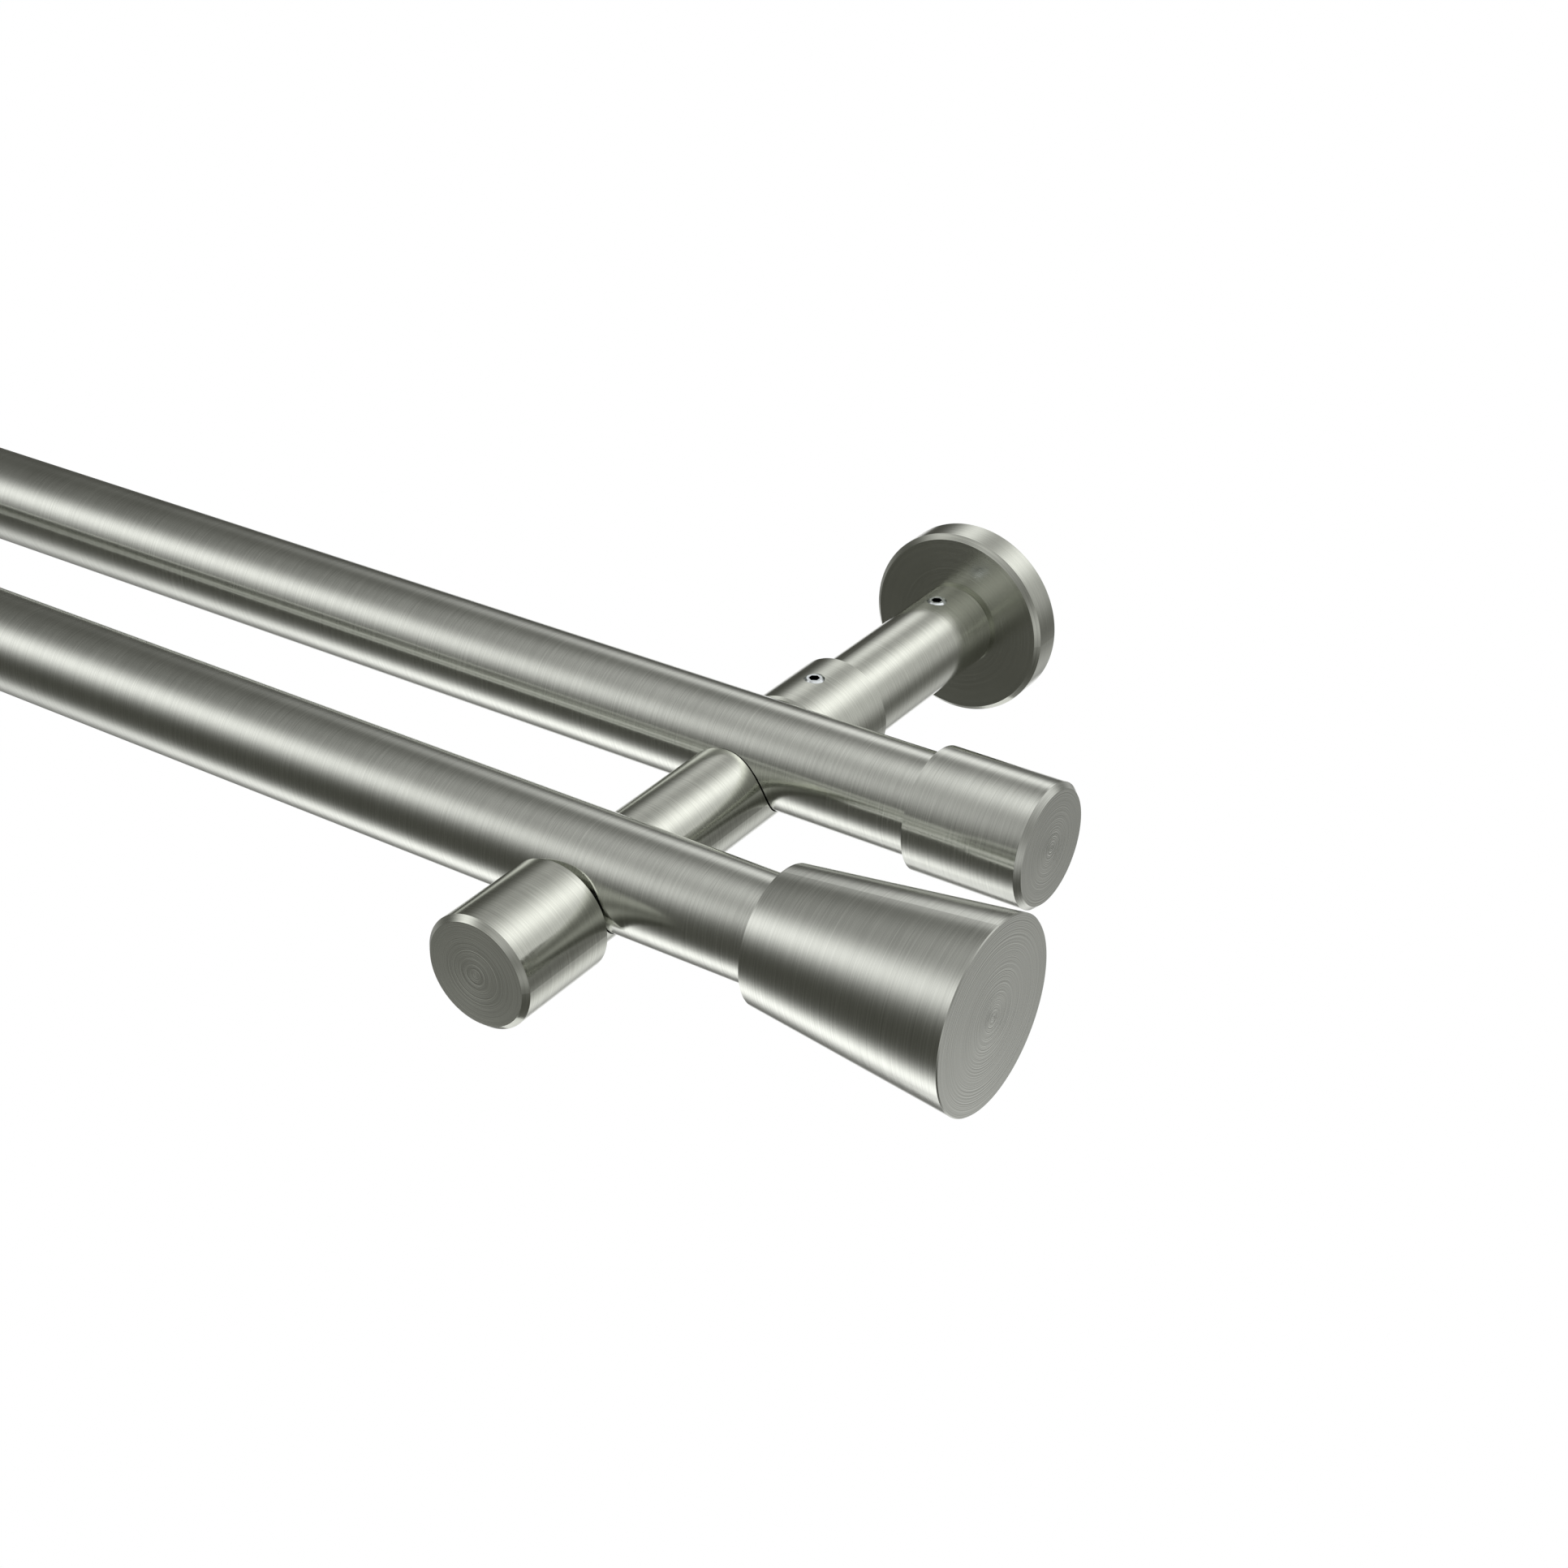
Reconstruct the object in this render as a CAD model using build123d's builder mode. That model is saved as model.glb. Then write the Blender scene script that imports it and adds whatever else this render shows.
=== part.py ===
from build123d import *
import os

# A wall-mounted double curtain rod: two steel tubes side by side, each closed by end pieces,
# carried by two brackets. Sizes in millimetres.
# Origin at the centre of the right bracket's wall plate, on the wall. +X along the rods,
# +Y into the wall, +Z up. The arms run along -Y into the room.

# Rods
rod_length = 1000
rod_diameter = 20
rod_wall = 1
rod_overhang = 60  # from a bracket's centre to the end of the rods
rod_rise = 5  # rod axes above the axis of the arms
wall_to_back_rod = 82
rod_spacing = 50  # from the back rod's axis to the front rod's

# Arm of a bracket: a tube on the wall plate, and a carrier bar plugged into the tube
arm_diameter = 18
arm_wall = 2
arm_end_chamfer = 1  # at the rosette, where the tube steps down to pass through it
carrier_plug_length = 28
seat_clearance = 0.2  # between a rod and the bored seat that it lies in
plug_clearance = 0.1  # between a plug and the tube bore around it

# Sleeve over the joint of the arm
sleeve_wall = 2
sleeve_length = 19.6
sleeve_chamfer = 0.5
sleeve_gap = 0.1  # between the sleeve's front edge and the back rod
sleeve_lap = 3.9  # how far the sleeve reaches past the joint, towards the room
slip_clearance = 0.05  # between the arm and the sleeve or cap pushed over it
edge_break = 0.2

# Front cap of the arm
front_cap_wall = 2
front_cap_length = 22
front_cap_bore_depth = 19
front_cap_gap = 0.25  # between the cap's rear edge and the front rod
front_cap_chamfer = 1
stub_end_clearance = 0.2

# Rosette and wall plate
rosette_diameter = 40
rosette_depth = 7
rosette_chamfer = 1
rosette_rim = 2.8
rosette_bore_clearance = 0.05
plate_thickness = 3
plate_clearance = 0.2  # between the wall plate and the rosette around it
plate_plug_length = 24
head_room = 2  # between the wall plate and the rosette's face, for the heads of the wall screws
fixing_hole_count = 3
fixing_hole_diameter = 4.5
fixing_head_diameter = 8.4
fixing_head_angle = 90

# End cap of the back rod and cone finial of the front rod
end_cap_wall = 2
end_cap_length = 24
end_cap_socket_depth = 20
end_cap_chamfer = 1
finial_neck_wall = 2.9
finial_face_diameter = 35
finial_length = 40.8
finial_socket_depth = 19.8
socket_clearance = 0.1  # between a rod and the socket over its end

# Grub screws with a hexagon socket
screw_diameter = 4
screw_clearance = 0.05
screw_rim_chamfer = 0.45
screw_tip_chamfer = 0.6
socket_flats = 2
socket_turn = 30  # turns a corner of each socket to point along its arm
arm_screw_station = 15.5
sleeve_screw_setback = 10.2  # from the sleeve's front edge to its screw
end_screw_setback = 10  # from the rear edge of an end cap or finial to its screw
screw_proud = 0.1  # how far the screws on top of the arm stand out
screw_recess = 0.1  # how deep the screws underneath are sunk
screw_reach = 0.1  # how far the end pieces' screws reach through the wall of the rod
plug_groove_depth = 1.7
stub_groove_depth = 2.1
groove_play = 0.3  # between a grub screw and each side of the groove it locks in

# Derived sizes and places
rod_radius = rod_diameter / 2
arm_radius = arm_diameter / 2
arm_bore_radius = arm_radius - arm_wall
arm_spigot_radius = arm_radius - arm_end_chamfer
plug_radius = arm_bore_radius - plug_clearance
seat_radius = rod_radius + seat_clearance
sleeve_radius = arm_radius + sleeve_wall
front_cap_radius = arm_radius + front_cap_wall
end_cap_radius = rod_radius + end_cap_wall
finial_neck_radius = rod_radius + finial_neck_wall
finial_face_radius = finial_face_diameter / 2
finial_flare = (finial_face_radius - finial_neck_radius) / finial_length
rosette_radius = rosette_diameter / 2
plate_radius = rosette_radius - rosette_rim - plate_clearance
fixing_circle_radius = (arm_bore_radius + plate_radius) / 2
screw_radius = screw_diameter / 2
screw_hole_radius = screw_radius + screw_clearance
groove_width = screw_diameter + 2 * groove_play
back_station = wall_to_back_rod
front_station = wall_to_back_rod + rod_spacing
sleeve_front_station = back_station - rod_radius - sleeve_gap
sleeve_rear_station = sleeve_front_station - sleeve_length
sleeve_screw_station = sleeve_front_station - sleeve_screw_setback
arm_joint_station = sleeve_front_station - sleeve_lap
cap_rear_station = front_station + rod_radius + front_cap_gap
cap_screw_station = cap_rear_station + front_cap_bore_depth / 2
stub_end_station = cap_rear_station + front_cap_bore_depth - stub_end_clearance
plug_groove_radius = plug_radius - plug_groove_depth
stub_groove_radius = arm_radius - stub_groove_depth
rod_underside = rod_rise - rod_radius
end_screw_tip_radius = rod_radius - rod_wall - screw_reach
bracket_spacing = rod_length - 2 * rod_overhang
rods_middle_x = -bracket_spacing / 2
sides = {"right": 1, "left": -1}


def bracket_x(side):
    """Where a bracket stands along the rods."""
    return rods_middle_x + side * bracket_spacing / 2


def station_plane(side, station):
    """A plane across an arm, looking into the room, at a distance from the wall."""
    return Plane(origin=(bracket_x(side), -station, 0), x_dir=(1, 0, 0), z_dir=(0, -1, 0))


def upright_plane(side, station, height, up):
    """A plane level with the floor on the middle of an arm, looking up or down."""
    return Plane(origin=(bracket_x(side), -station, height), x_dir=(1, 0, 0), z_dir=(0, 0, up))


def across_rod_plane(x, station, facing):
    """A plane across a rod at x, looking to the right or to the left."""
    return Plane(origin=(x, -station, rod_rise), x_dir=(0, 1, 0), z_dir=(facing, 0, 0))


def below_rod_plane(x, station, depth):
    """A plane under a rod's axis, looking down."""
    return Plane(origin=(x, -station, rod_rise - depth), x_dir=(1, 0, 0), z_dir=(0, 0, -1))


def rod_end_x(side):
    """The end of both rods on one side."""
    return bracket_x(side) + side * rod_overhang


def end_screw_x(side, socket_depth):
    """The place along a rod of the screw that locks an end piece with this socket depth."""
    return rod_end_x(side) - side * (socket_depth - end_screw_setback)


def finish(piece, name):
    """Labels a finished piece and writes it to its own file."""
    piece.part.label = name
    export_step(piece.part, f"parts/{name}.step")


def make_rod(name, station, socket_depth):
    """A drawn tube with a hole near each end, underneath, where the end piece's screw locks."""
    with BuildPart() as rod:
        with BuildSketch(across_rod_plane(rod_end_x(-1), station, 1)):
            Circle(rod_radius)
            Circle(rod_radius - rod_wall, mode=Mode.SUBTRACT)
        extrude(amount=rod_length)
        for side in sides.values():
            with BuildSketch(below_rod_plane(end_screw_x(side, socket_depth), station, 0)):
                Circle(screw_hole_radius)
            extrude(amount=rod_diameter, mode=Mode.SUBTRACT)
    finish(rod, name)


def make_end_cap(name, side):
    """A turned cylinder with a chamfered end and a blind socket over the back rod."""
    solid_end = end_cap_length - end_cap_socket_depth
    outer_plane = across_rod_plane(rod_end_x(side) + side * solid_end, back_station, -side)
    screw_x = end_screw_x(side, end_cap_socket_depth)
    with BuildPart() as cap:
        with BuildSketch(outer_plane):
            Circle(end_cap_radius)
        extrude(amount=end_cap_length)
        outer_face = cap.faces().sort_by(Axis.X)[-1 if side > 0 else 0]
        chamfer(outer_face.edges(), end_cap_chamfer)
        with BuildSketch(outer_plane.offset(solid_end)):
            Circle(rod_radius + socket_clearance)
        extrude(amount=end_cap_socket_depth, mode=Mode.SUBTRACT)
        with BuildSketch(below_rod_plane(screw_x, back_station, 0)):
            Circle(screw_hole_radius)
        extrude(amount=2 * end_cap_radius, mode=Mode.SUBTRACT)
    finish(cap, name)


def make_finial(name, side):
    """A turned cone that widens outwards, with a blind socket over the front rod."""
    neck_x = rod_end_x(side) - side * finial_socket_depth
    screw_x = end_screw_x(side, finial_socket_depth)
    profile_plane = Plane(
        origin=(neck_x, -front_station, rod_rise), x_dir=(side, 0, 0), z_dir=(0, -side, 0)
    )
    with BuildPart() as finial:
        with BuildSketch(profile_plane):
            with BuildLine():
                Polyline(
                    (0, rod_radius + socket_clearance),
                    (0, finial_neck_radius),
                    (finial_length - edge_break, finial_face_radius),
                    (finial_length, finial_face_radius - edge_break),
                    (finial_length, 0),
                    (finial_socket_depth, 0),
                    (finial_socket_depth, rod_radius + socket_clearance),
                    close=True,
                )
            make_face()
        revolve(axis=Axis((neck_x, -front_station, rod_rise), (1, 0, 0)))
        with BuildSketch(below_rod_plane(screw_x, front_station, 0)):
            Circle(screw_hole_radius)
        extrude(amount=finial_face_diameter, mode=Mode.SUBTRACT)
    finish(finial, name)


def make_wall_plate(name, side):
    """A round steel plate with countersunk fixing holes and a grooved plug for the arm tube."""
    front_plane = station_plane(side, plate_thickness)
    with BuildPart() as plate:
        with BuildSketch(station_plane(side, 0)):
            Circle(plate_radius)
        extrude(amount=plate_thickness)
        with BuildSketch(front_plane):
            Circle(plug_radius)
        extrude(amount=plate_plug_length)
        with BuildSketch(station_plane(side, arm_screw_station - groove_width / 2)):
            Circle(plug_radius)
            Circle(plug_groove_radius, mode=Mode.SUBTRACT)
        extrude(amount=groove_width, mode=Mode.SUBTRACT)
        with Locations(front_plane):
            with PolarLocations(fixing_circle_radius, fixing_hole_count, start_angle=90):
                CounterSinkHole(
                    fixing_hole_diameter / 2,
                    fixing_head_diameter / 2,
                    depth=plate_thickness,
                    counter_sink_angle=fixing_head_angle,
                )
    finish(plate, name)


def make_rosette(name, side):
    """A turned cover disc, hollow behind, that hides the wall plate and its fixing screws."""
    with BuildPart() as rosette:
        with BuildSketch(station_plane(side, 0)):
            Circle(rosette_radius)
        extrude(amount=rosette_depth)
        chamfer(rosette.faces().sort_by(Axis.Y)[0].edges(), rosette_chamfer)
        with BuildSketch(station_plane(side, 0)):
            Circle(plate_radius + plate_clearance)
        extrude(amount=plate_thickness + head_room, mode=Mode.SUBTRACT)
        with BuildSketch(station_plane(side, 0)):
            Circle(arm_spigot_radius + rosette_bore_clearance)
        extrude(amount=rosette_depth, mode=Mode.SUBTRACT)
    finish(rosette, name)


def make_arm_tube(name, side):
    """The tube from the wall plate to the joint under the sleeve, with two holes on top.

    It is thinner inside the rosette, and its shoulder holds the rosette against the wall.
    """
    profile_plane = Plane(origin=(bracket_x(side), 0, 0), x_dir=(0, -1, 0), z_dir=(1, 0, 0))
    with BuildPart() as tube:
        with BuildSketch(profile_plane):
            with BuildLine():
                Polyline(
                    (plate_thickness, arm_bore_radius),
                    (plate_thickness, arm_spigot_radius),
                    (rosette_depth, arm_spigot_radius),
                    (rosette_depth + arm_end_chamfer, arm_radius),
                    (arm_joint_station, arm_radius),
                    (arm_joint_station, arm_bore_radius),
                    close=True,
                )
            make_face()
        revolve(axis=Axis((bracket_x(side), 0, 0), (0, 1, 0)))
        for station in (arm_screw_station, sleeve_screw_station):
            with BuildSketch(upright_plane(side, station, 0, 1)):
                Circle(screw_hole_radius)
            extrude(amount=arm_diameter, mode=Mode.SUBTRACT)
    finish(tube, name)


def make_sleeve(name, side):
    """A turned ring over the joint of the arm, with a tapped hole on top."""
    with BuildPart() as sleeve:
        with BuildSketch(station_plane(side, sleeve_rear_station)):
            Circle(sleeve_radius)
        extrude(amount=sleeve_length)
        end_faces = sleeve.faces().sort_by(Axis.Y)
        chamfer(end_faces[0].edges(), sleeve_chamfer)
        chamfer(end_faces[-1].edges(), edge_break)
        with BuildSketch(station_plane(side, sleeve_rear_station)):
            Circle(arm_radius + slip_clearance)
        extrude(amount=sleeve_length, mode=Mode.SUBTRACT)
        with BuildSketch(upright_plane(side, sleeve_screw_station, 0, 1)):
            Circle(screw_hole_radius)
        extrude(amount=2 * sleeve_radius, mode=Mode.SUBTRACT)
    finish(sleeve, name)


def make_carrier(name, side):
    """The bar that carries both rods: a plug, two cross-bored seats and a grooved front stub."""
    with BuildPart() as carrier:
        with BuildSketch(station_plane(side, arm_joint_station - carrier_plug_length)):
            Circle(plug_radius)
        extrude(amount=carrier_plug_length)
        with BuildSketch(station_plane(side, arm_joint_station)):
            Circle(arm_radius)
        extrude(amount=stub_end_station - arm_joint_station)
        end_faces = carrier.faces().sort_by(Axis.Y)
        chamfer(end_faces[0].edges() + end_faces[-1].edges(), edge_break)
        with BuildSketch(station_plane(side, cap_screw_station - groove_width / 2)):
            Circle(arm_radius)
            Circle(stub_groove_radius, mode=Mode.SUBTRACT)
        extrude(amount=groove_width, mode=Mode.SUBTRACT)
        for station in (back_station, front_station):
            with BuildSketch(across_rod_plane(bracket_x(side), station, 1)):
                Circle(seat_radius)
            extrude(amount=arm_diameter, both=True, mode=Mode.SUBTRACT)
            with BuildSketch(upright_plane(side, station, 0, -1)):
                Circle(screw_hole_radius)
            extrude(amount=arm_diameter, mode=Mode.SUBTRACT)
    finish(carrier, name)


def make_front_cap(name, side):
    """A turned cap over the carrier's stub, with a chamfered face and a screw underneath."""
    with BuildPart() as cap:
        with BuildSketch(station_plane(side, cap_rear_station)):
            Circle(front_cap_radius)
        extrude(amount=front_cap_length)
        end_faces = cap.faces().sort_by(Axis.Y)
        chamfer(end_faces[0].edges(), front_cap_chamfer)
        chamfer(end_faces[-1].edges(), edge_break)
        with BuildSketch(station_plane(side, cap_rear_station)):
            Circle(arm_radius + slip_clearance)
        extrude(amount=front_cap_bore_depth, mode=Mode.SUBTRACT)
        with BuildSketch(upright_plane(side, cap_screw_station, 0, -1)):
            Circle(screw_hole_radius)
        extrude(amount=2 * front_cap_radius, mode=Mode.SUBTRACT)
    finish(cap, name)


def make_grub_screw(name, socket_plane, length):
    """A headless screw whose socket end lies on the plane, facing the way the plane looks."""
    axis = Axis(socket_plane.origin, socket_plane.z_dir)
    with BuildPart() as screw:
        with BuildSketch(socket_plane):
            Circle(screw_radius)
        extrude(amount=-length)
        end_faces = screw.faces().sort_by(axis)
        chamfer(end_faces[0].edges(), screw_tip_chamfer)
        chamfer(end_faces[-1].edges(), screw_rim_chamfer)
        with BuildSketch(socket_plane):
            RegularPolygon(socket_flats / 2, 6, major_radius=False, rotation=socket_turn)
        extrude(amount=-length / 2, mode=Mode.SUBTRACT)
    finish(screw, name)


os.makedirs("parts", exist_ok=True)

make_rod("back_rod", back_station, end_cap_socket_depth)
make_rod("front_rod", front_station, finial_socket_depth)

for side_name, side in sides.items():
    # End pieces of the rods, each locked by a screw from below
    make_end_cap(f"{side_name}_end_cap", side)
    make_finial(f"{side_name}_finial", side)
    end_cap_screw_x = end_screw_x(side, end_cap_socket_depth)
    end_cap_screw_depth = end_cap_radius - screw_recess
    make_grub_screw(
        f"{side_name}_end_cap_screw",
        below_rod_plane(end_cap_screw_x, back_station, end_cap_screw_depth),
        end_cap_screw_depth - end_screw_tip_radius,
    )
    finial_screw_x = end_screw_x(side, finial_socket_depth)
    finial_screw_rear = end_screw_setback - screw_radius
    finial_screw_depth = finial_neck_radius + finial_flare * finial_screw_rear - screw_recess
    make_grub_screw(
        f"{side_name}_finial_screw",
        below_rod_plane(finial_screw_x, front_station, finial_screw_depth),
        finial_screw_depth - end_screw_tip_radius,
    )

    # Bracket, from the wall into the room
    make_wall_plate(f"{side_name}_wall_plate", side)
    make_rosette(f"{side_name}_rosette", side)
    make_arm_tube(f"{side_name}_arm_tube", side)
    make_sleeve(f"{side_name}_sleeve", side)
    make_carrier(f"{side_name}_carrier", side)
    make_front_cap(f"{side_name}_front_cap", side)

    # Screws on top of the arm, in the groove of the wall plate's plug and on the carrier's plug
    arm_screw_height = arm_radius + screw_proud
    make_grub_screw(
        f"{side_name}_arm_screw",
        upright_plane(side, arm_screw_station, arm_screw_height, 1),
        arm_screw_height - plug_groove_radius,
    )
    sleeve_screw_height = sleeve_radius + screw_proud
    make_grub_screw(
        f"{side_name}_sleeve_screw",
        upright_plane(side, sleeve_screw_station, sleeve_screw_height, 1),
        sleeve_screw_height - plug_radius,
    )

    # Screws underneath, in the groove of the carrier's stub and against the rods
    cap_screw_depth = front_cap_radius - screw_recess
    make_grub_screw(
        f"{side_name}_front_cap_screw",
        upright_plane(side, cap_screw_station, -cap_screw_depth, -1),
        cap_screw_depth - stub_groove_radius,
    )
    for rod_name, station in (("back", back_station), ("front", front_station)):
        make_grub_screw(
            f"{side_name}_{rod_name}_seat_screw",
            upright_plane(side, station, screw_recess - arm_radius, -1),
            arm_radius - screw_recess + rod_underside,
        )
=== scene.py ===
"""Double curtain rod in brushed steel on two wall brackets, dressed and lit in a plain studio."""

import math

import bpy
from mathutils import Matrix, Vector


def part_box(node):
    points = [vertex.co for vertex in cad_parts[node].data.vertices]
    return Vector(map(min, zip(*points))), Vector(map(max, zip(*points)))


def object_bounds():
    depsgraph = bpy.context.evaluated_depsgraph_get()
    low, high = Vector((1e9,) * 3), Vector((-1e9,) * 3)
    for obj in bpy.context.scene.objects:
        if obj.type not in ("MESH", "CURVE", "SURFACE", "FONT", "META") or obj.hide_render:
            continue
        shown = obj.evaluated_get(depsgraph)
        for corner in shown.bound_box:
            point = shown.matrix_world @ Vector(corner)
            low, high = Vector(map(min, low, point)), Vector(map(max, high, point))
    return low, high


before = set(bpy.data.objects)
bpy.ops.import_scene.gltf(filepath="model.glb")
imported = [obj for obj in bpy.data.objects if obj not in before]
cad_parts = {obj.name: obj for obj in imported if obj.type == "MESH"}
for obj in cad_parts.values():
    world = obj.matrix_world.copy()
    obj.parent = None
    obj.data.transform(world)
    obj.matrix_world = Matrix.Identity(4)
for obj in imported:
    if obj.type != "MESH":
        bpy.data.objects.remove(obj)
cad_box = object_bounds()

MM = 0.001
WHITE = (1.0, 1.0, 1.0, 1.0)

# The studio, in metres: a dim warm room, and a pale round floor as far down as under a real curtain rod.
ROOM_GREY = 0.09
ROOM_TINT = (1.0, 1.0, 0.88, 1.0)
FLOOR_BELOW = 2.3
FLOOR_RADIUS = 0.75
FLOOR_CORNERS = 96
FLOOR_ROUGHNESS = 0.9
FLOOR_GREYS = (0.84, 0.88)
FLOOR_MOTTLE_SCALE = 3
FLOOR_GLOW = 0.4

# Each soft light: bearing from straight into the wall towards the right end and height above the horizon, in
# degrees, then tightness and strength. A black screen takes a little away from the room's grey.
SOFT_LIGHTS = {
    "left_key": (-125, 29, 22, 1.2),
    "left_wall_lamp": (-26, 25, 42, 1.0),
    "right_wall_lamp": (22, 36, 28, 0.9),
    "right_side_lamp": (51, 9, 20, 0.56),
    "ceiling": (50, 62, 5.6, 1.0),
    "left_ceiling": (-100, 87, 12, 1.45),
    "left_floor_lamp": (-111, -56, 25, 1.42),
    "left_low_lamp": (-84, -27, 12, 0.3),
    "wall_floor_lamp": (21, -58, 13, 0.98),
    "room_lamp": (169, 30, 9, 0.48),
    "room_low_lamp": (124, -10, 18, 0.4),
    "right_end_lamp": (95, 0, 14, 0.35),
    "behind_lamp": (0, -8, 20, 0.35),
    "black_screen_left": (-131, -6, 14, -0.02),
    "black_screen_wall": (-41, -4, 14, -0.02),
}

# The white backdrop: bearing and height of its middle, straight behind the object in the photograph, and how
# far from there it is full and where it ends. It is about as wide as the picture.
BACKDROP_MIDDLE = (-34, -30.5)
BACKDROP_FULL = math.radians(14)
BACKDROP_EDGE = math.radians(22)
BACKDROP_STRENGTH = 1.0

# The metals: their colours, and how strongly each draws its reflections out, a quarter turn from its lines.
ROD_STEEL = (0.64, 0.652, 0.607)
BRACKET_STEEL = (0.615, 0.628, 0.57)
ZINC = (0.80, 0.835, 0.86)
STEEL_STRETCH = 0.35
ZINC_STRETCH = 0.2
QUARTER_TURN = 0.25

# How rough each piece is, and how much rougher or smoother the faces, the lines and the clouds make it.
ROD_ROUGHNESS = 0.165
END_ROUGHNESS = {"end_cap": 0.17, "finial": 0.155}
ARM_ROUGHNESS = {"arm_tube": 0.15, "sleeve": 0.16, "carrier": 0.16, "front_cap": 0.165, "rosette": 0.155}
PLATE_ROUGHNESS = 0.32
SCREW_ROUGHNESS = 0.2
FACE_ROUGHER = 0.05
GRAIN_ROUGHER = (-0.03, 0.03)
CLOUDS_ROUGHER = (-0.015, 0.015)

# The lines left by turning: how much each kind changes on its way round, how fine its detail is and where in
# the noise it starts. Noise lies mostly within the range given, round its middle.
GRAIN = {"turns": 1.6, "detail": 2.0, "seed": 0.0}
HAIRLINES = {"turns": 0.9, "detail": 1.0, "seed": 7.0}
RINGS = {"turns": 0.12, "detail": 2.0, "seed": 3.0}
NOISE_RANGE = (0.3, 0.7)
NOISE_MIDDLE = 0.5
GRAIN_PITCH = 0.15 * MM
SCREW_GRAIN_PITCH = 0.12 * MM
GRAIN_DEPTH = 0.0022 * MM
GRAIN_SHADE = (0.91, 1.09)
HAIRLINES_WIDER = 1.8
HAIRLINE_RANGE = (0.4, 0.75)
HAIRLINE_SHADE = (0.98, 1.06)
CLOUD_SCALE = 70
CLOUD_SHADE = (0.975, 1.025)

# A face is flat by how square it is to the axis. Its rings are strongest at the centre, and as deep in the
# bump as each axis needs to show them.
FLAT_FACE = (0.9, 0.99)
RING_PITCH = 0.3 * MM
RING_SHADE = 0.8
RING_FADE_RADIUS = 8 * MM
RING_LEFT_OUTSIDE = 0.4
RING_DEPTH = {"X": 0.13 * MM, "Y": 0.048 * MM, "Z": 0.01 * MM}

# The screws, and the hexagon sockets in them, which have painted shade inside.
SCREW_PLACES = ("arm", "sleeve", "front_cap", "back_seat", "front_seat", "end_cap", "finial")
SOCKET_RADIUS = 1.2 * MM
SOCKET_EDGE = 0.1 * MM
SOCKET_LIP = 0.3 * MM
# How much of the metal's colour the painted shade inside a socket leaves.
SOCKET_PAINTED_SHADE = 0.06

# The axes that the pieces were turned on.
ROD_AXIS = "X"
ARM_AXIS = "Y"
SCREW_AXIS = "Z"
AXIS_DIRECTION = {"X": (1, 0, 0), "Y": (0, 1, 0), "Z": (0, 0, 1)}
TURN_TO_AXIS = {
    "X": (0.0, math.radians(90), 0.0),
    "Y": (math.radians(-90), 0.0, 0.0),
    "Z": (0.0, 0.0, 0.0),
}

# The photograph's viewpoint. The lens points at a row below the middle of the picture.
CAMERA_PLACE = (0.2243, -0.4028, 0.2265)
CAMERA_TILT = math.radians(55.71)
CAMERA_HEADING = math.radians(34.156)
CAMERA_LENS = 54.12
PICTURE_SIDE = 1932
LENS_AXIS_ROW = 1164.5
NEAREST_SEEN = 0.01
FARTHEST_SEEN = 50


def from_bearing(bearing, height):
    """Direction of a light from its bearing and height in degrees."""
    turn, rise = math.radians(bearing), math.radians(height)
    return Vector((math.sin(turn) * math.cos(rise), math.cos(turn) * math.cos(rise), math.sin(rise)))


def add_node(tree, kind, **settings):
    """New node of one kind, with its settings."""
    node = tree.nodes.new(kind)
    for name, value in settings.items():
        setattr(node, name, value)
    return node


def feed(tree, socket, value):
    """Gives an input another node's output, or a plain value."""
    if isinstance(value, bpy.types.NodeSocket):
        tree.links.new(value, socket)
    else:
        socket.default_value = value


def calculate(tree, operation, *values):
    """Result of a Math node whose inputs are numbers or other nodes' outputs."""
    node = add_node(tree, "ShaderNodeMath", operation=operation)
    for socket, value in zip(node.inputs, values):
        feed(tree, socket, value)
    return node.outputs["Value"]


def combine_vectors(tree, operation, *values):
    """Vector Math node whose inputs are vectors or other nodes' outputs."""
    node = add_node(tree, "ShaderNodeVectorMath", operation=operation)
    for socket, value in zip(node.inputs, values):
        feed(tree, socket, value)
    return node


def map_range(tree, value, span, result):
    """Value carried from one span to another, and held at the ends of both."""
    node = add_node(tree, "ShaderNodeMapRange")
    tree.links.new(value, node.inputs["Value"])
    node.inputs["From Min"].default_value, node.inputs["From Max"].default_value = span
    node.inputs["To Min"].default_value, node.inputs["To Max"].default_value = result
    return node.outputs["Result"]


def mix_values(tree, factor, low, high):
    """The low value where the factor is 0, the high one where it is 1, and a mix in between."""
    mix = add_node(tree, "ShaderNodeMix", data_type="FLOAT")
    feed(tree, mix.inputs["Factor"], factor)
    feed(tree, mix.inputs["A"], low)
    feed(tree, mix.inputs["B"], high)
    return mix.outputs["Result"]


def photo_camera():
    """Camera at the photograph's viewpoint, with the shift that its framing needs."""
    camera = bpy.data.cameras.new("photo_camera")
    camera.lens = CAMERA_LENS
    camera.shift_y = (LENS_AXIS_ROW - PICTURE_SIDE / 2) / PICTURE_SIDE
    camera.clip_start = NEAREST_SEEN
    camera.clip_end = FARTHEST_SEEN
    holder = bpy.data.objects.new("photo_camera", camera)
    holder.location = CAMERA_PLACE
    holder.rotation_euler = (CAMERA_TILT, 0, CAMERA_HEADING)
    bpy.context.scene.collection.objects.link(holder)
    bpy.context.scene.camera = holder


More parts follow.
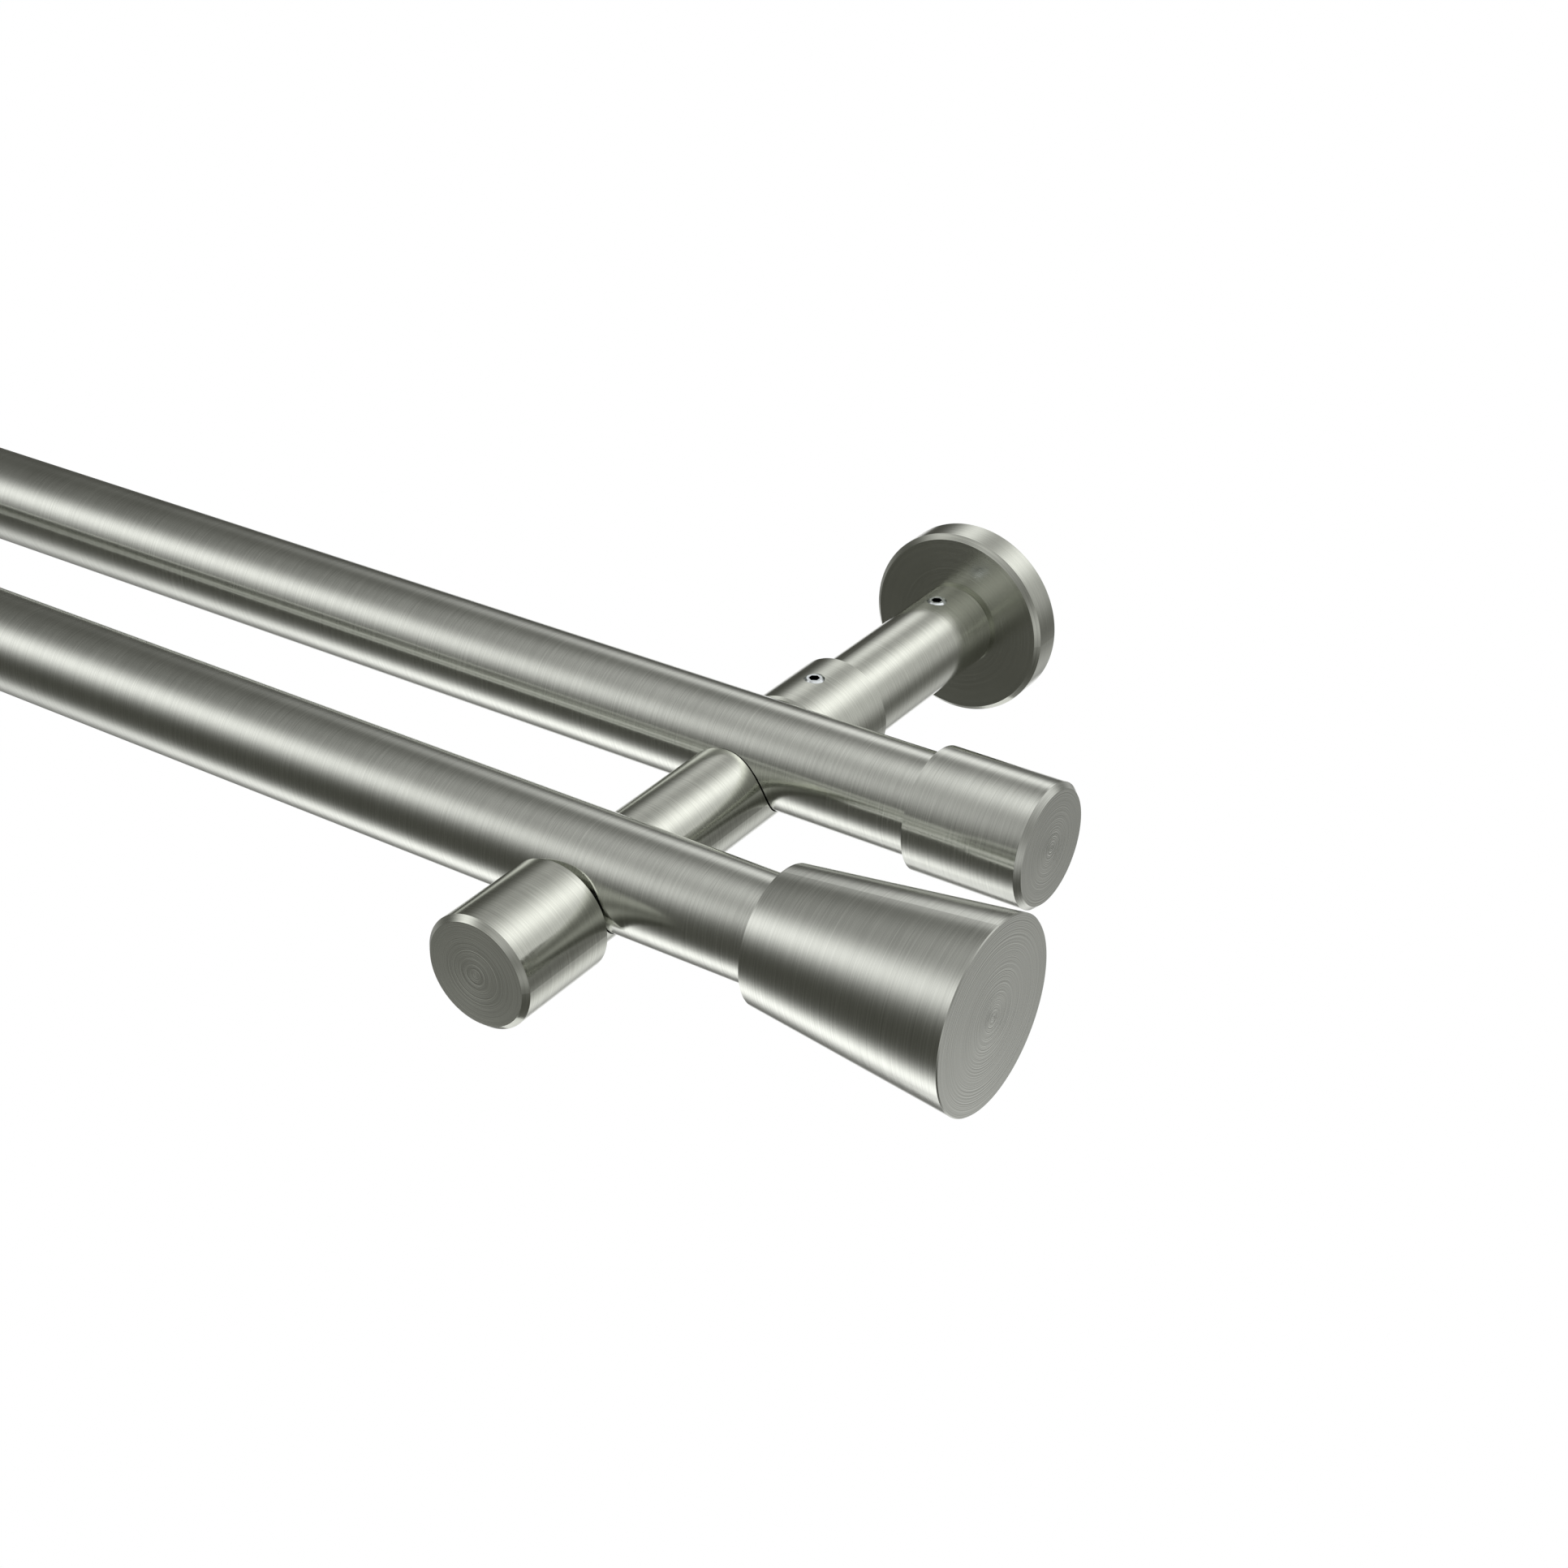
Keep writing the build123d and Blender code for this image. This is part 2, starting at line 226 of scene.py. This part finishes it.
def studio_light():
    """World of soft lights by direction, with a white backdrop behind the object that the metal mirrors too.

    The camera sees white on every other side as well, where the metal mirrors the dim room.
    """
    world = bpy.data.worlds.new("studio")
    bpy.context.scene.world = world
    world.use_nodes = True
    tree = world.node_tree
    tree.nodes.clear()
    towards = add_node(tree, "ShaderNodeTexCoord").outputs["Generated"]
    light = 0.0
    for bearing, height, tightness, strength in SOFT_LIGHTS.values():
        facing = combine_vectors(tree, "DOT_PRODUCT", towards, from_bearing(bearing, height)).outputs["Value"]
        falloff = calculate(tree, "EXPONENT", calculate(tree, "MULTIPLY_ADD", facing, tightness, -tightness))
        light = calculate(tree, "MULTIPLY_ADD", falloff, strength, light)

    lamps = add_node(tree, "ShaderNodeBackground")
    lamps.inputs["Color"].default_value = WHITE
    tree.links.new(light, lamps.inputs["Strength"])
    room = add_node(tree, "ShaderNodeBackground")
    room.inputs["Color"].default_value = ROOM_TINT
    room.inputs["Strength"].default_value = ROOM_GREY
    lit_room = add_node(tree, "ShaderNodeAddShader")
    tree.links.new(lamps.outputs["Background"], lit_room.inputs[0])
    tree.links.new(room.outputs["Background"], lit_room.inputs[1])

    backdrop = add_node(tree, "ShaderNodeBackground")
    backdrop.inputs["Color"].default_value = WHITE
    backdrop.inputs["Strength"].default_value = BACKDROP_STRENGTH
    path = add_node(tree, "ShaderNodeLightPath")
    mirrored = calculate(tree, "MAXIMUM", path.outputs["Is Glossy Ray"], path.outputs["Is Transmission Ray"])
    facing = combine_vectors(tree, "DOT_PRODUCT", towards, from_bearing(*BACKDROP_MIDDLE)).outputs["Value"]
    behind = map_range(tree, facing, (math.cos(BACKDROP_EDGE), math.cos(BACKDROP_FULL)), (0, 1))
    mirrored = calculate(tree, "MULTIPLY", mirrored, behind)
    seen = calculate(tree, "MAXIMUM", path.outputs["Is Camera Ray"], mirrored)
    shown = add_node(tree, "ShaderNodeMixShader")
    tree.links.new(seen, shown.inputs["Fac"])
    tree.links.new(lit_room.outputs["Shader"], shown.inputs[1])
    tree.links.new(backdrop.outputs["Background"], shown.inputs[2])
    output = add_node(tree, "ShaderNodeOutputWorld")
    tree.links.new(shown.outputs["Shader"], output.inputs["Surface"])


def pale_floor():
    """Round pale floor under the middle of the rods, white to the camera and in the metal."""
    low, high = cad_box
    bpy.ops.mesh.primitive_circle_add(
        vertices=FLOOR_CORNERS,
        radius=FLOOR_RADIUS,
        fill_type="NGON",
        location=((low.x + high.x) / 2, (low.y + high.y) / 2, -FLOOR_BELOW),
    )
    floor = bpy.context.object
    floor.name = "pale_floor"
    paint = bpy.data.materials.new("pale_floor")
    paint.use_nodes = True
    tree = paint.node_tree
    shader = tree.nodes["Principled BSDF"]
    shader.inputs["Roughness"].default_value = FLOOR_ROUGHNESS
    mottle = add_node(tree, "ShaderNodeTexNoise")
    mottle.inputs["Scale"].default_value = FLOOR_MOTTLE_SCALE
    tree.links.new(add_node(tree, "ShaderNodeTexCoord").outputs["Object"], mottle.inputs["Vector"])
    tree.links.new(map_range(tree, mottle.outputs["Fac"], (0, 1), FLOOR_GREYS), shader.inputs["Base Color"])
    path = add_node(tree, "ShaderNodeLightPath")
    seen = calculate(tree, "MAXIMUM", path.outputs["Is Camera Ray"], path.outputs["Is Glossy Ray"])
    seen = calculate(tree, "MAXIMUM", seen, path.outputs["Is Transmission Ray"])
    shader.inputs["Emission Color"].default_value = WHITE
    tree.links.new(calculate(tree, "MULTIPLY", seen, FLOOR_GLOW), shader.inputs["Emission Strength"])
    floor.data.materials.append(paint)


def turned_coordinates(tree, axis, centre):
    """Distance along a piece's axis, radius from it and direction round it."""
    place = add_node(tree, "ShaderNodeMapping", vector_type="TEXTURE")
    place.inputs["Location"].default_value = centre
    place.inputs["Rotation"].default_value = TURN_TO_AXIS[axis]
    tree.links.new(add_node(tree, "ShaderNodeTexCoord").outputs["Object"], place.inputs["Vector"])
    across = combine_vectors(tree, "MULTIPLY", place.outputs["Vector"], (1, 1, 0)).outputs["Vector"]
    split = add_node(tree, "ShaderNodeSeparateXYZ")
    tree.links.new(place.outputs["Vector"], split.inputs["Vector"])
    return {
        "along": split.outputs["Z"],
        "radius": combine_vectors(tree, "LENGTH", across).outputs["Value"],
        "around": combine_vectors(tree, "NORMALIZE", across).outputs["Vector"],
    }


def turned_lines(tree, coordinates, pitch, turns, detail, seed):
    """Noise drawn out round the axis: lines on the curved faces and rings on the flat ones."""
    rings = add_node(tree, "ShaderNodeCombineXYZ")
    tree.links.new(calculate(tree, "MULTIPLY_ADD", coordinates["radius"], 1 / pitch, seed), rings.inputs["Z"])
    circle = (turns, turns, 0)
    vector = combine_vectors(tree, "MULTIPLY_ADD", coordinates["around"], circle, rings.outputs["Vector"])
    noise = add_node(tree, "ShaderNodeTexNoise", noise_dimensions="4D")
    noise.inputs["Scale"].default_value = 1
    noise.inputs["Detail"].default_value = detail
    tree.links.new(vector.outputs["Vector"], noise.inputs["Vector"])
    tree.links.new(calculate(tree, "MULTIPLY", coordinates["along"], 1 / pitch), noise.inputs["W"])
    return noise.outputs["Fac"]


def flat_face(tree, axis):
    """1 on the faces square to the axis, 0 on the curved ones."""
    normal = add_node(tree, "ShaderNodeTexCoord").outputs["Normal"]
    facing = combine_vectors(tree, "DOT_PRODUCT", normal, AXIS_DIRECTION[axis]).outputs["Value"]
    return map_range(tree, calculate(tree, "ABSOLUTE", facing), FLAT_FACE, (0, 1))


def paint_socket_shade(tree, coordinates, half_height):
    """Painted shade inside a screw's hexagon socket: dark there, 1 everywhere else."""
    outside = map_range(tree, coordinates["radius"], (SOCKET_RADIUS, SOCKET_RADIUS + SOCKET_EDGE), (0, 1))
    from_middle = calculate(tree, "ABSOLUTE", coordinates["along"])
    on_end = map_range(tree, from_middle, (half_height - SOCKET_LIP, half_height), (0, 1))
    return map_range(tree, calculate(tree, "MAXIMUM", outside, on_end), (0, 1), (SOCKET_PAINTED_SHADE, 1))


def turned_metal(name, colour, axis, centre, roughness, stretch, pitch=GRAIN_PITCH, half_height=None):
    """Metal with fine lines turned round one axis, a few longer hairlines and a faint cloudiness.

    Only a screw gives its half height, for the painted shade inside its socket.
    """
    metal = bpy.data.materials.new(name)
    metal.use_nodes = True
    tree = metal.node_tree
    shader = tree.nodes["Principled BSDF"]
    shader.inputs["Metallic"].default_value = 1.0
    shader.inputs["Anisotropic"].default_value = stretch
    shader.inputs["Anisotropic Rotation"].default_value = QUARTER_TURN
    tangent = add_node(tree, "ShaderNodeTangent", direction_type="RADIAL", axis=axis)
    tree.links.new(tangent.outputs["Tangent"], shader.inputs["Tangent"])

    coordinates = turned_coordinates(tree, axis, centre)
    grain = turned_lines(tree, coordinates, pitch, **GRAIN)
    hairlines = turned_lines(tree, coordinates, HAIRLINES_WIDER * pitch, **HAIRLINES)
    rings = turned_lines(tree, coordinates, RING_PITCH, **RINGS)
    cloudiness = add_node(tree, "ShaderNodeTexNoise")
    cloudiness.inputs["Scale"].default_value = CLOUD_SCALE
    tree.links.new(add_node(tree, "ShaderNodeTexCoord").outputs["Object"], cloudiness.inputs["Vector"])
    clouds = cloudiness.outputs["Fac"]
    face = flat_face(tree, axis)

    grain_shade = map_range(tree, grain, NOISE_RANGE, GRAIN_SHADE)
    hairline_shade = map_range(tree, hairlines, HAIRLINE_RANGE, HAIRLINE_SHADE)
    brushed = calculate(tree, "MULTIPLY", grain_shade, hairline_shade)
    fade = map_range(tree, coordinates["radius"], (0, RING_FADE_RADIUS), (1, RING_LEFT_OUTSIDE))
    ring_shade = calculate(tree, "SUBTRACT", rings, NOISE_MIDDLE)
    ring_shade = calculate(tree, "MULTIPLY", ring_shade, calculate(tree, "MULTIPLY", fade, RING_SHADE))
    shade = mix_values(tree, face, brushed, calculate(tree, "ADD", ring_shade, 1))
    shade = calculate(tree, "MULTIPLY", shade, map_range(tree, clouds, NOISE_RANGE, CLOUD_SHADE))
    # A screw gets painted shade, darkening the inside of its hexagon socket.
    if half_height:
        shade = calculate(tree, "MULTIPLY", shade, paint_socket_shade(tree, coordinates, half_height))
    tint = combine_vectors(tree, "SCALE", colour)
    tree.links.new(shade, tint.inputs["Scale"])
    tree.links.new(tint.outputs["Vector"], shader.inputs["Base Color"])

    rougher = calculate(
        tree,
        "ADD",
        map_range(tree, grain, NOISE_RANGE, GRAIN_ROUGHER),
        map_range(tree, clouds, NOISE_RANGE, CLOUDS_ROUGHER),
    )
    rougher = calculate(tree, "ADD", rougher, calculate(tree, "MULTIPLY", face, FACE_ROUGHER))
    tree.links.new(calculate(tree, "ADD", rougher, roughness), shader.inputs["Roughness"])

    bump = add_node(tree, "ShaderNodeBump")
    bump.inputs["Distance"].default_value = GRAIN_DEPTH
    ring_scale = calculate(tree, "MULTIPLY", fade, RING_DEPTH[axis] / GRAIN_DEPTH)
    ring_height = calculate(tree, "MULTIPLY", rings, ring_scale)
    tree.links.new(mix_values(tree, face, grain, ring_height), bump.inputs["Height"])
    tree.links.new(bump.outputs["Normal"], shader.inputs["Normal"])
    return metal


def middle(node):
    """Centre of a CAD node's box."""
    low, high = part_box(node)
    return (low + high) / 2


def dress(node, metal):
    """Gives a CAD node its metal."""
    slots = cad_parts[node].data.materials
    slots.clear()
    slots.append(metal)


def dress_rods():
    """The two rods, which run from one side to the other."""
    for rod in ("back_rod", "front_rod"):
        metal = turned_metal(f"{rod}_steel", ROD_STEEL, ROD_AXIS, middle(rod), ROD_ROUGHNESS, STEEL_STRETCH)
        dress(rod, metal)


def dress_side(side):
    """One side's end pieces, bracket and screws."""
    for piece, roughness in END_ROUGHNESS.items():
        node = f"{side}_{piece}"
        metal = turned_metal(f"{node}_steel", ROD_STEEL, ROD_AXIS, middle(node), roughness, STEEL_STRETCH)
        dress(node, metal)
    for piece, roughness in ARM_ROUGHNESS.items():
        node = f"{side}_{piece}"
        metal = turned_metal(f"{node}_steel", BRACKET_STEEL, ARM_AXIS, middle(node), roughness, STEEL_STRETCH)
        dress(node, metal)
    plate = f"{side}_wall_plate"
    dress(plate, turned_metal(f"{plate}_zinc", ZINC, ARM_AXIS, middle(plate), PLATE_ROUGHNESS, ZINC_STRETCH))
    for place in SCREW_PLACES:
        screw = f"{side}_{place}_screw"
        low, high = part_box(screw)
        metal = turned_metal(
            f"{screw}_zinc",
            ZINC,
            SCREW_AXIS,
            middle(screw),
            SCREW_ROUGHNESS,
            ZINC_STRETCH,
            pitch=SCREW_GRAIN_PITCH,
            half_height=(high.z - low.z) / 2,
        )
        dress(screw, metal)


photo_camera()
studio_light()
pale_floor()
dress_rods()
dress_side("right")
dress_side("left")
bpy.context.scene.view_settings.view_transform = "Standard"
